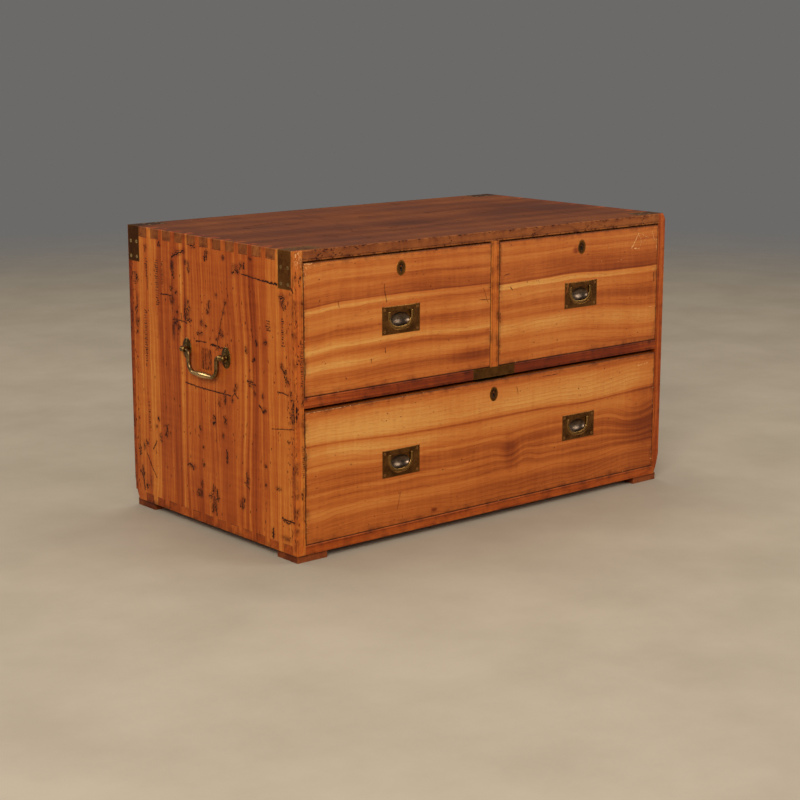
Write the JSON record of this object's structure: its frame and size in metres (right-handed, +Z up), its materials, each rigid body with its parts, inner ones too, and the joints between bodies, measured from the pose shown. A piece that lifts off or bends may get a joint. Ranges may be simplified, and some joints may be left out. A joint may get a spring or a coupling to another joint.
{
  "type": "campaign chest",
  "caption": "Low camphor-wood campaign chest: short drawers over a long one, flush swinging brass handles, let-in brass corner straps, drawer locks and side carrying handles.",
  "frame": {"origin": "on the floor, under the middle of the chest", "axes": "+X along the front to the right as seen from the front, +Y from the front into the depth, so the drawers open towards -Y, +Z up"},
  "size_m": [0.9712, 0.532, 0.556],
  "materials": {
    "camphor_case": "old waxed red-brown camphor wood, dented and worn",
    "camphor_front": "waxed golden camphor wood with wavy darker grain",
    "camphor_top": "darkened waxed top with a soft sheen",
    "camphor_inside": "dry unpolished camphor wood",
    "aged_brass": "dark aged brass with rubbed edges",
    "lock_brass": "dull cast brass and iron lock"
  },
  "bodies": {
    "carcass": {"top_board": "camphor_top", "bottom_board": "camphor_case", "left_side": "camphor_case", "right_side": "camphor_case", "back_board_lower": "camphor_case", "back_board_upper": "camphor_case", "middle_rail": "camphor_case", "centre_divider": "camphor_case", "dust_board": "camphor_inside", "drawer_guide": "camphor_inside", "left_drawer_stop": "camphor_inside", "right_drawer_stop": "camphor_inside", "long_drawer_stop": "camphor_inside", "rail_strap": "aged_brass", "front_left_foot": "camphor_case", "front_right_foot": "camphor_case", "back_left_foot": "camphor_case", "back_right_foot": "camphor_case", "front_left_corner_strap": "aged_brass", "front_right_corner_strap": "aged_brass", "back_left_corner_strap": "aged_brass", "back_right_corner_strap": "aged_brass", "front_left_handle_rose": "aged_brass", "front_right_handle_rose": "aged_brass", "back_left_handle_rose": "aged_brass", "back_right_handle_rose": "aged_brass"},
    "left_carrying_bail": {"left_carrying_handle": "aged_brass"},
    "right_carrying_bail": {"right_carrying_handle": "aged_brass"},
    "left_drawer": {"left_drawer_front": "camphor_front", "left_drawer_left_side": "camphor_inside", "left_drawer_right_side": "camphor_inside", "left_drawer_back": "camphor_inside", "left_drawer_bottom": "camphor_inside", "left_drawer_escutcheon": "aged_brass", "left_drawer_lock_case": "lock_brass", "upper_left_handle_plate": "aged_brass"},
    "left_bolt": {"left_drawer_lock_bolt": "lock_brass"},
    "upper_left_bail": {"upper_left_handle_bail": "aged_brass"},
    "right_drawer": {"right_drawer_front": "camphor_front", "right_drawer_left_side": "camphor_inside", "right_drawer_right_side": "camphor_inside", "right_drawer_back": "camphor_inside", "right_drawer_bottom": "camphor_inside", "right_drawer_escutcheon": "aged_brass", "right_drawer_lock_case": "lock_brass", "upper_right_handle_plate": "aged_brass"},
    "right_bolt": {"right_drawer_lock_bolt": "lock_brass"},
    "upper_right_bail": {"upper_right_handle_bail": "aged_brass"},
    "long_drawer": {"long_drawer_front": "camphor_front", "long_drawer_left_side": "camphor_inside", "long_drawer_right_side": "camphor_inside", "long_drawer_back": "camphor_inside", "long_drawer_bottom": "camphor_inside", "long_drawer_escutcheon": "aged_brass", "long_drawer_lock_case": "lock_brass", "lower_left_handle_plate": "aged_brass", "lower_right_handle_plate": "aged_brass"},
    "long_bolt": {"long_drawer_lock_bolt": "lock_brass"},
    "lower_left_bail": {"lower_left_handle_bail": "aged_brass"},
    "lower_right_bail": {"lower_right_handle_bail": "aged_brass"}
  },
  "joints": [
    {"name": "left_drawer_slide", "type": "slide", "parent": "carcass", "child": "left_drawer", "axis": [0, -1, 0], "range_m": [0, 0.38]},
    {"name": "right_drawer_slide", "type": "slide", "parent": "carcass", "child": "right_drawer", "axis": [0, -1, 0], "range_m": [0, 0.38]},
    {"name": "long_drawer_slide", "type": "slide", "parent": "carcass", "child": "long_drawer", "axis": [0, -1, 0], "range_m": [0, 0.38]},
    {"name": "left_bolt_throw", "type": "slide", "parent": "left_drawer", "child": "left_bolt", "axis": [0, 0, 1], "range_m": [0, 0.008]},
    {"name": "right_bolt_throw", "type": "slide", "parent": "right_drawer", "child": "right_bolt", "axis": [0, 0, 1], "range_m": [0, 0.008]},
    {"name": "long_bolt_throw", "type": "slide", "parent": "long_drawer", "child": "long_bolt", "axis": [0, 0, 1], "range_m": [0, 0.012]},
    {"name": "upper_left_bail_swing", "type": "hinge", "parent": "left_drawer", "child": "upper_left_bail", "pos_m": [-0.23025, -0.2643, 0.4285], "axis": [-1, 0, 0], "range_deg": [0, 95]},
    {"name": "upper_right_bail_swing", "type": "hinge", "parent": "right_drawer", "child": "upper_right_bail", "pos_m": [0.23025, -0.2643, 0.4285], "axis": [-1, 0, 0], "range_deg": [0, 95]},
    {"name": "lower_left_bail_swing", "type": "hinge", "parent": "long_drawer", "child": "lower_left_bail", "pos_m": [-0.23025, -0.2643, 0.164], "axis": [-1, 0, 0], "range_deg": [0, 95]},
    {"name": "lower_right_bail_swing", "type": "hinge", "parent": "long_drawer", "child": "lower_right_bail", "pos_m": [0.23025, -0.2643, 0.164], "axis": [-1, 0, 0], "range_deg": [0, 95]},
    {"name": "left_carrying_swing", "type": "hinge", "parent": "carcass", "child": "left_carrying_bail", "pos_m": [-0.4795, 0.005, 0.342], "axis": [0, 1, 0], "range_deg": [0, 175]},
    {"name": "right_carrying_swing", "type": "hinge", "parent": "carcass", "child": "right_carrying_bail", "pos_m": [0.4795, 0.005, 0.342], "axis": [0, -1, 0], "range_deg": [0, 175]}
  ]
}
